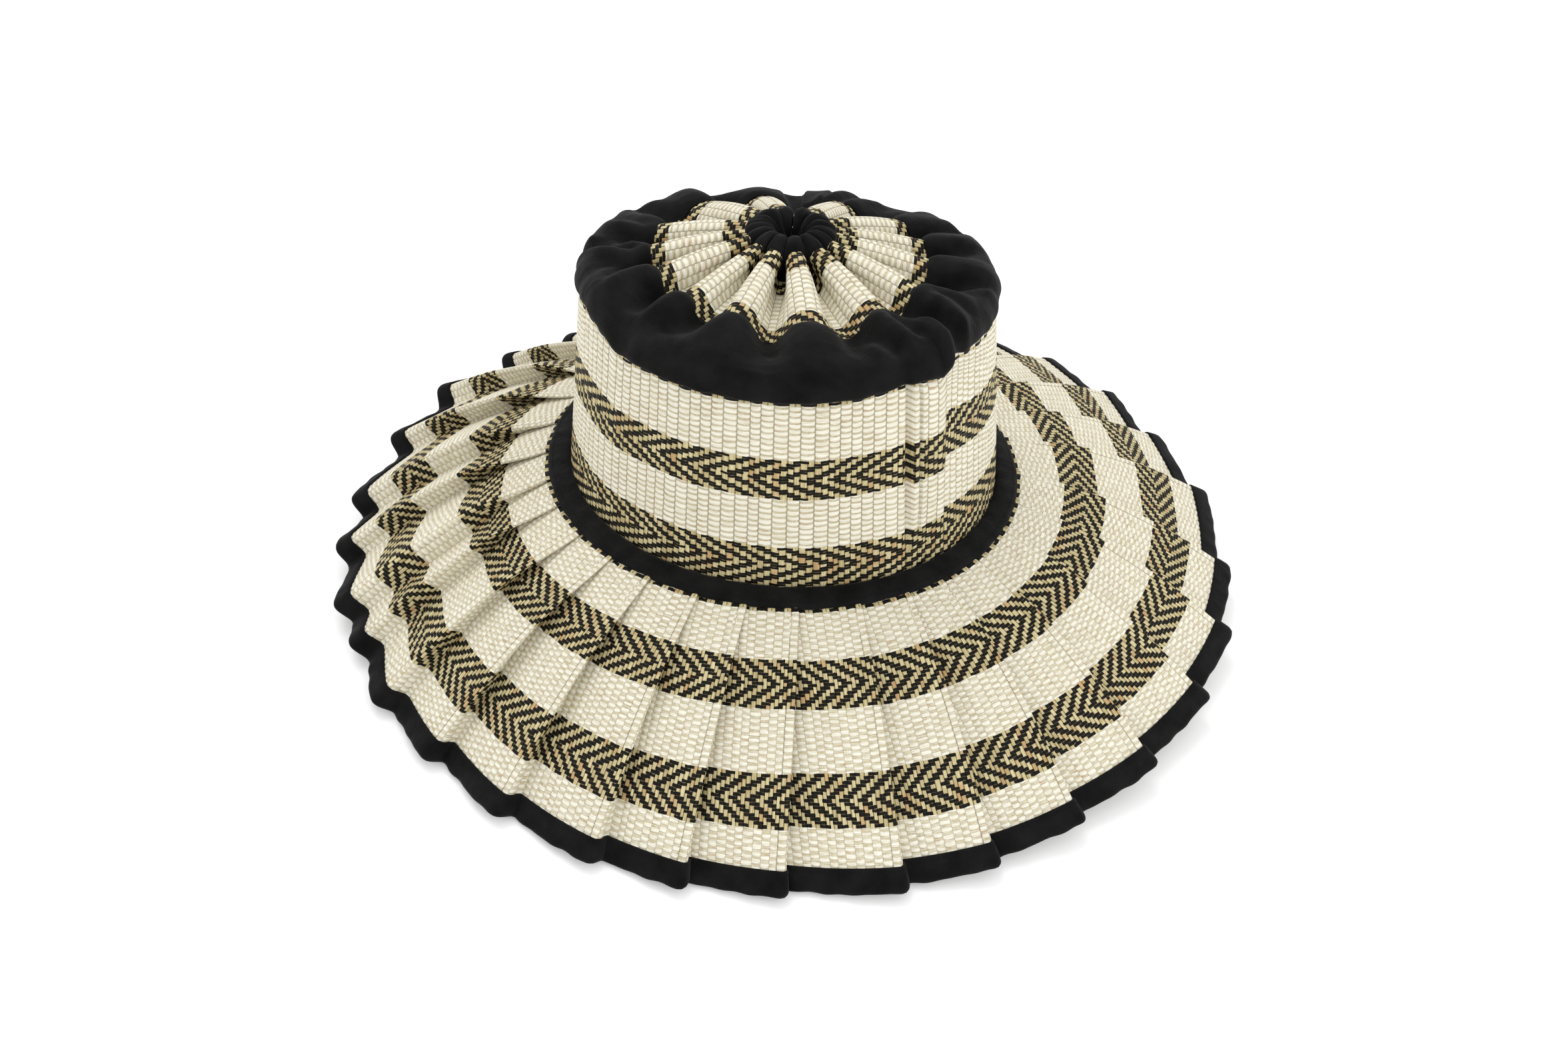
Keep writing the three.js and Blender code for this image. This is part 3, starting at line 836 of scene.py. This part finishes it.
def linear(code):
    """An sRGB hex value as the linear colour that a shader takes."""
    parts = [int(code[i : i + 2], 16) / 255 for i in (1, 3, 5)]
    return [p / 12.92 if p <= 0.04045 else ((p + 0.055) / 1.055) ** 2.4 for p in parts] + [1]


MODES = {
    "MapRange": "interpolation_type",
    "Mix": "data_type",
    "TexNoise": "noise_dimensions",
    "TexWhiteNoise": "noise_dimensions",
}


def start_material(name):
    """A new material, and the one function that adds a node to it. It takes the node's kind, and
    its mode after a space, or the operation alone for arithmetic, then the inputs in order,
    inputs by name, and settings. It gives back the node's first output in use."""
    material = bpy.data.materials.new(name)
    material.use_nodes = True
    tree = material.node_tree
    tree.nodes.clear()

    def add(kind, *inputs, named=(), **settings):
        """One node with its settings, and its inputs set or linked."""
        if kind.isupper():
            kind, settings["operation"] = "Math", kind
        kind, _, mode = kind.partition(" ")
        if mode:
            settings[MODES[kind]] = mode
        node = tree.nodes.new("ShaderNode" + kind)
        for key, value in settings.items():
            setattr(node, key, value)
        pairs = list(zip([socket for socket in node.inputs if socket.enabled], inputs))
        pairs += [(node.inputs[key], value) for key, value in dict(named).items()]
        for socket, value in pairs:
            if isinstance(value, bpy.types.NodeSocket):
                tree.links.new(value, socket)
            elif value is not None:
                socket.default_value = value
        return next((socket for socket in node.outputs if socket.enabled), None)

    return material, add


def woven_mat(name, zones, half_bar, bow, groove_shade_and_depth, crease_width, veil_most):
    """Hand-woven mat: flat straw warps, with soft cotton wefts over and under two of them. The eye
    gets matt cream bars in brick order, dull gold straw between them, and black twill stripes. The
    weave map counts warps across and wefts along. zones are the bands with black weft: their first
    and last row, the row that the chevron turns at, and how many warps each row steps on. A bar is
    half_bar of its beat long and bowed by bow, grooves get painted shade and a bump by
    groove_shade_and_depth, creased lines get a dark dashed line crease_width millimetres wide,
    which on the crown is painted shadow in the tucks and at the join, and loose strands hide up to
    veil_most of the straw."""
    material, n = start_material(name)
    where = n("UVMap", uv_map="weave")
    u, v = n("SeparateXYZ", where).node.outputs[:2]
    sway = n("TexNoise 2D", where, 0.33, 1.0)
    v = n("MULTIPLY_ADD", n("SUBTRACT", sway, 0.5), 0.6, v)
    jog = n("TexNoise 2D", where, 1.15, 1.0)
    v = n("MULTIPLY_ADD", n("SUBTRACT", jog, 0.5), 0.24, v)
    cord = n("FLOOR", n("MULTIPLY", u, 0.5))
    cord_edge = n("ABSOLUTE", n("MULTIPLY_ADD", n("FRACT", n("MULTIPLY", u, 0.5)), 2.0, -1.0))
    warp = n("FLOOR", u)
    warp_edge = n("ABSOLUTE", n("MULTIPLY_ADD", n("FRACT", u), 2.0, -1.0))

    # the weft is three or four threads laid side by side, with loose strands, and painted shade in
    # the gaps between the threads
    strand = n("TexNoise 2D", n("Mapping", where, None, None, (0.36, 3.4, 1)), 1.0, 2.0)
    lay = n("MULTIPLY_ADD", n("TexNoise 2D", where, 0.7, 1.0), 0.7, n("MULTIPLY", v, 2.5))
    lay = n("ABSOLUTE", n("MULTIPLY_ADD", n("FRACT", lay), 2.0, -1.0))
    thread_gap_shade = n("MapRange SMOOTHSTEP", lay, 0.6, 1.0, 0.0, 1.0)

    # plain rows: bars over two warps in every other row, a row on in the next cord, a little bowed
    bowed = n("MULTIPLY_ADD", n("POWER", cord_edge, 2.0), bow, v)
    own = n("TexWhiteNoise 1D", cord)
    beat = n("MULTIPLY", n("ADD", n("MULTIPLY_ADD", own, 0.34, bowed), cord), 0.5)
    bar_count = n("FLOOR", beat)
    bar_pick = n("TexWhiteNoise 2D", n("CombineXYZ", cord, bar_count))
    from_bar = n("ABSOLUTE", n("MULTIPLY_ADD", n("FRACT", beat), 2.0, -1.0))
    bar_reach = n("MULTIPLY_ADD", n("POWER", cord_edge, 6.0), -0.16, half_bar - 0.17)
    bar_reach = n("MULTIPLY_ADD", bar_pick, 0.12, bar_reach)
    bar_reach = n("MULTIPLY_ADD", strand, 0.22, bar_reach)
    bar = n("MapRange SMOOTHSTEP", n("SUBTRACT", from_bar, bar_reach), -0.12, 0.1, 1.0, 0.0)

    # twill bands: black over two warps and under two, a warp on in each row
    row = n("FLOOR", v)
    row_edge = n("ABSOLUTE", n("MULTIPLY_ADD", n("FRACT", v), 2.0, -1.0))
    twill, shift = 0.0, 0.0
    for first, last, turn, steps in zones:
        inside = n("COMPARE", row, (first + last) / 2, (last - first) / 2 + 0.3)
        twill = n("ADD", inside, twill)
        on = n("MULTIPLY", n("ABSOLUTE", n("SUBTRACT", row, float(turn))), float(steps))
        shift = n("MULTIPLY_ADD", inside, on, shift)
    beat = n("MULTIPLY", n("ADD", u, shift), 0.25)
    phase = n("MULTIPLY", n("FRACT", beat), 4.0)
    dash_pick = n("TexWhiteNoise 2D", n("CombineXYZ", n("FLOOR", beat), row))
    near_dash = n("ABSOLUTE", n("SUBTRACT", phase, 1.0))
    from_dash = n("MINIMUM", near_dash, n("ABSOLUTE", n("SUBTRACT", phase, 5.0)))
    dash_end = n("MULTIPLY_ADD", n("POWER", row_edge, 5.0), 0.14, from_dash)
    dash_end = n("MULTIPLY_ADD", dash_pick, 0.24, n("SUBTRACT", dash_end, 0.12))
    dash = n("MapRange SMOOTHSTEP", dash_end, 1.08, 1.18, 1.0, 0.0)
    thin = n("MULTIPLY_ADD", jog, -0.3, row_edge)
    dash = n("MULTIPLY", dash, n("MapRange SMOOTHSTEP", thin, 0.74, 0.9, 1.0, 0.25))

    # fibres run along the straw
    fibre = n("TexNoise 2D", n("Mapping", where, None, None, (7.0, 0.22, 1)), 1.0, 3.0)
    warp_pick = n("TexWhiteNoise 1D", warp)
    tone = n("MULTIPLY_ADD", fibre, 2.2, n("MULTIPLY_ADD", warp_pick, 0.5, -0.85))
    straw = n("Mix RGBA", tone, linear(STRAW_DEEP), linear(STRAW_PALE))
    along_warp = n("Mapping", n("CombineXYZ", warp, v), None, None, (0.73, 0.09, 1))
    stain = n("TexNoise 2D", along_warp, 1.0, 0.0)
    stain = n("MapRange SMOOTHSTEP", stain, 0.68, 0.76, 0.0, 0.55)
    straw = n("Mix RGBA", stain, straw, linear(STRAW_BROWN))
    tone = n("MULTIPLY_ADD", bar_pick, 0.3, n("MULTIPLY_ADD", strand, 2.4, -0.5))
    # painted shade in the gaps between threads darkens the cotton here and the black weft below
    tone = n("MULTIPLY_ADD", thread_gap_shade, -0.75, tone)
    cotton = n("Mix RGBA", tone, linear(COTTON_DEEP), linear(COTTON_PALE))
    tone = n("MULTIPLY_ADD", thread_gap_shade, -0.5, n("MULTIPLY_ADD", strand, 1.6, -0.4))
    black = n("Mix RGBA", tone, linear(BLACK_DEEP), linear(BLACK_PALE))

    # between the bars the straw shows through loose strands of the weft
    veil = n("MapRange", strand, 0.38, 0.62, 0.2, veil_most)
    between = n("Mix RGBA", veil, straw, linear(COTTON_LOOSE))
    plain = n("Mix RGBA", bar, between, cotton)
    band = n("Mix RGBA", dash, straw, black)
    colour = n("Mix RGBA", twill, plain, band)

    # painted shade in the grooves between cords, between warps in the twill, and in the hollows
    # between bars, and a dark dashed line on a pleat's creased line, which on the crown is painted
    # shadow in the tucks and at the join
    groove = n("MapRange SMOOTHSTEP", cord_edge, 0.84, 1.0, 0.0, groove_shade_and_depth)
    # painted shadow along the edges of each warp in the twill
    seam = n("MapRange SMOOTHSTEP", warp_edge, 0.66, 1.0, 0.0, 0.6)
    lines = n("Mix FLOAT", twill, groove, seam)
    from_crease = n("ABSOLUTE", n("SeparateXYZ", n("UVMap", uv_map="fold")))
    dashed = n("MapRange", n("FRACT", n("MULTIPLY", v, 0.5)), 0.3, 0.42, 0.45, 1.0)
    crease = n("MapRange SMOOTHSTEP", from_crease, crease_width / 3, crease_width, 0.5, 0.0)
    crease = n("MULTIPLY", crease, n("MULTIPLY", dashed, n("MULTIPLY_ADD", own, 0.7, 0.3)))
    shade = n("MULTIPLY", n("SUBTRACT", 1.0, lines), n("SUBTRACT", 1.0, crease))
    # painted shade in the straw's hollows between bars, in plain rows
    hollow_shade = n("MULTIPLY", n("MULTIPLY", from_bar, 0.13), n("SUBTRACT", 1.0, twill))
    shade = n("MULTIPLY", shade, n("SUBTRACT", 1.0, hollow_shade))
    # the painted shade is tinted warm
    warm_shade = n("CombineColor", shade, n("POWER", shade, 1.04), n("POWER", shade, 1.12))
    colour = n("Mix RGBA", 1.0, colour, warm_shade, blend_type="MULTIPLY")

    # relief of the weave, 1 for a bar's back
    bar_high = n("MULTIPLY_ADD", n("POWER", from_bar, 2.0), -0.8, 1.0)
    plain_high = n("MULTIPLY_ADD", n("MULTIPLY", bar, bar_high), 0.6, 0.25)
    dash_high = n("MULTIPLY_ADD", n("POWER", row_edge, 2.0), -0.22, 0.95)
    straw_high = n("MULTIPLY_ADD", n("POWER", warp_edge, 3.0), -0.35, 0.62)
    high = n("Mix FLOAT", twill, plain_high, n("Mix FLOAT", dash, straw_high, dash_high))
    high = n("MULTIPLY_ADD", lines, -0.8, high)
    high = n("MULTIPLY_ADD", n("ADD", strand, fibre), 0.16, high)
    high = n("SUBTRACT", high, crease)
    relief = n("Bump", named={"Strength": 0.85, "Distance": 0.0005, "Height": high})
    finish = {"Base Color": colour, "Roughness": 0.6, "IOR": 1.5, "Normal": relief}
    finish["Specular IOR Level"] = 0.16
    n("OutputMaterial", n("BsdfPrincipled", named=finish))
    return material


def cotton_drill(name):
    """Black cotton drill, woven in a three-over-one twill and dyed: fine diagonal lines on a matt
    face, with a faint bloom of loose fibre. The cloth map is in millimetres. The lines are 0.5 mm
    apart in the real cloth and 0.8 mm here, so that they show."""
    material, n = start_material(name)
    where = n("UVMap", uv_map="cloth")
    x, y = n("SeparateXYZ", where).node.outputs[:2]
    waver = n("TexNoise 2D", where, 0.6, 2.0)
    slanted = n("MULTIPLY_ADD", waver, 0.9, n("MULTIPLY_ADD", y, 0.85, x))
    spacing = 0.8
    line = n("MULTIPLY_ADD", n("SINE", n("MULTIPLY", slanted, 2 * math.pi / spacing)), 0.5, 0.5)
    bloom = n("TexNoise 2D", where, 0.09, 4.0)
    fuzz = n("TexNoise 2D", where, 3.1, 3.0)
    tone = n("MULTIPLY_ADD", line, 0.3, n("MULTIPLY_ADD", bloom, 1.3, -0.61))
    tone = n("MULTIPLY_ADD", fuzz, 0.45, tone)
    colour = n("Mix RGBA", tone, linear(DRILL_DEEP), linear(DRILL_LIT))
    high = n("MULTIPLY_ADD", fuzz, 0.8, line)
    relief = n("Bump", named={"Strength": 0.6, "Distance": 0.00012, "Height": high})
    wide = n("TexNoise 2D", where, 0.16, 2.0)
    bend = {"Strength": 0.5, "Distance": 0.0012, "Height": wide, "Normal": relief}
    relief = n("Bump", named=bend)
    finish = {"Base Color": colour, "Roughness": 0.86, "IOR": 1.46, "Normal": relief}
    finish |= {"Specular IOR Level": 0.14, "Sheen Weight": 0.06, "Sheen Roughness": 0.35}
    n("OutputMaterial", n("BsdfPrincipled", named=finish))
    return material


def studio_paper():
    """Coated background paper, matt: an even white that only the hat's shadow darkens. The faint
    glow stands for the lamps that light a backdrop on their own."""
    material, n = start_material("matt white paper")
    finish = {"Base Color": linear("#f6f6f6"), "Roughness": 0.9}
    finish |= {"Emission Color": (1, 1, 1, 1), "Emission Strength": 0.14}
    n("OutputMaterial", n("BsdfPrincipled", named=finish))
    return material


# Studio


def make_camera():
    """The photograph's view: 40.7 degrees down, rolled 3.4 degrees, a 29.9 mm lens on 36 mm. The
    side and up directions are the level ones turned by the roll."""
    pitch_down, roll = math.radians(40.7), math.radians(3.4)
    forward = np.array([0, math.cos(pitch_down), -math.sin(pitch_down)])
    level = np.array([1.0, 0, 0])
    upright = np.array([0, math.sin(pitch_down), math.cos(pitch_down)])
    side = math.cos(roll) * level + math.sin(roll) * upright
    up = math.cos(roll) * upright - math.sin(roll) * level
    place = (np.array([1.7, -458.9, 409.1]) + SHIFT) / 1000
    data = bpy.data.cameras.new("photo_camera")
    data.sensor_width, data.lens, data.clip_start = 36, 29.93, 0.01
    camera = bpy.data.objects.new("photo_camera", data)
    turned = np.eye(4)
    turned[:3, 0], turned[:3, 1], turned[:3, 2], turned[:3, 3] = side, up, -forward, place
    camera.matrix_world = Matrix(turned.tolist())
    bpy.context.collection.objects.link(camera)
    bpy.context.scene.camera = camera


def soft_box(name, place, target, size, power):
    """A round area light at a place, its axis turned to the target. Metres and watts."""
    data = bpy.data.lights.new(name, "AREA")
    data.shape, data.size, data.energy = "DISK", size, power
    lamp = bpy.data.objects.new(name, data)
    away = unit(np.array(place, float) - np.array(target, float))
    side = unit(np.cross([0, 0, 1.0], away))
    turned = np.eye(4)
    turned[:3, 0], turned[:3, 1], turned[:3, 2] = side, np.cross(away, side), away
    turned[:3, 3] = place
    lamp.matrix_world = Matrix(turned.tolist())
    bpy.context.collection.objects.link(lamp)


def make_studio():
    """A wide sheet of paper, an even white surround, and three soft boxes above the hat."""
    mesh = bpy.data.meshes.new("floor")
    size = 6.0
    corners = [(-size, -size, 0), (size, -size, 0), (size, size, 0), (-size, size, 0)]
    mesh.from_pydata(corners, [], [(0, 1, 2, 3)])
    floor = bpy.data.objects.new("floor", mesh)
    bpy.context.collection.objects.link(floor)
    floor.data.materials.append(studio_paper())
    world = bpy.data.worlds.new("studio")
    bpy.context.scene.world = world
    world.use_nodes = True
    surround = world.node_tree.nodes["Background"]
    surround.inputs["Color"].default_value = (1, 1, 1, 1)
    surround.inputs["Strength"].default_value = 0.96
    middle = (0, 0, 0.08)
    soft_box("key", (1.3, -0.9, 0.95), middle, size=1.2, power=8)
    soft_box("top", (-0.5, 0.6, 1.6), middle, size=1.0, power=7)
    soft_box("fill", (-1.5, -0.6, 0.9), middle, size=1.2, power=3)
    bpy.context.scene.view_settings.view_transform = "Standard"


make_camera()
make_studio()

# The same mat three ways: beaten loosely in the flat brim, and closer on the crown and the top,
# where the bars are longer and more bowed, and the grooves between cords are deeper and carry more
# painted shade
brim_weave = woven_mat(
    "straw and cotton, hand-woven, brim",
    zones=[(0, 0, 0, 1), (16, 30, 23, 1), (50, 64, 57, -1)],
    half_bar=0.61,
    bow=0.1,
    groove_shade_and_depth=0.2,
    crease_width=0.3,
    veil_most=0.88,
)
crown_weave = woven_mat(
    "straw and cotton, hand-woven, crown",
    zones=[(0, 0, 0, 1), (20, 34, 27, -1), (53, 72, 60, 1)],
    half_bar=0.74,
    bow=0.13,
    groove_shade_and_depth=0.46,
    crease_width=1.0,
    veil_most=0.4,
)
top_weave = woven_mat(
    "straw and cotton, hand-woven, top",
    zones=[(-1, 5, -9, 1), (24, 34, 44, 1)],
    half_bar=0.66,
    bow=0.12,
    groove_shade_and_depth=0.4,
    crease_width=0.3,
    veil_most=0.6,
)
drill = cotton_drill("cotton drill, woven and dyed black")

brim = make_brim()
hem, hem_points = make_hem()
band, band_points = make_band()
wall = make_wall()
rosette = make_rosette()
yoke = make_yoke()
gather = make_gather()


def stitched(name, points, j):
    """Stitches along line j round a tube, standing on the cloth's outward direction there."""
    length, every, radius = 1.3, 1.75, 0.17  # millimetres
    return stitches(name, points[:, j], normals_of(points)[:, j], length, every, radius)


hem_stitches = stitched("hem_stitching", hem_points, 3)
band_stitches = stitched("band_stitching", band_points, 7)

for piece, material, slot, nodes in (
    (brim, brim_weave, "woven_mat", ["brim"]),
    (hem, drill, "black_cotton", ["brim_hem"]),
    (band, drill, "black_cotton", ["base_band"]),
    (wall, crown_weave, "woven_mat", ["crown_wall"]),
    (rosette, top_weave, "woven_mat", ["rosette"]),
    (yoke, drill, "black_cotton", ["crown_yoke"]),
    (gather, drill, "black_cotton", ["centre_gather"]),
    (hem_stitches, drill, "black_cotton", []),
    (band_stitches, drill, "black_cotton", []),
):
    piece.data.materials.append(material)
    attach(piece, "root")
    if nodes:
        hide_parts(*nodes)
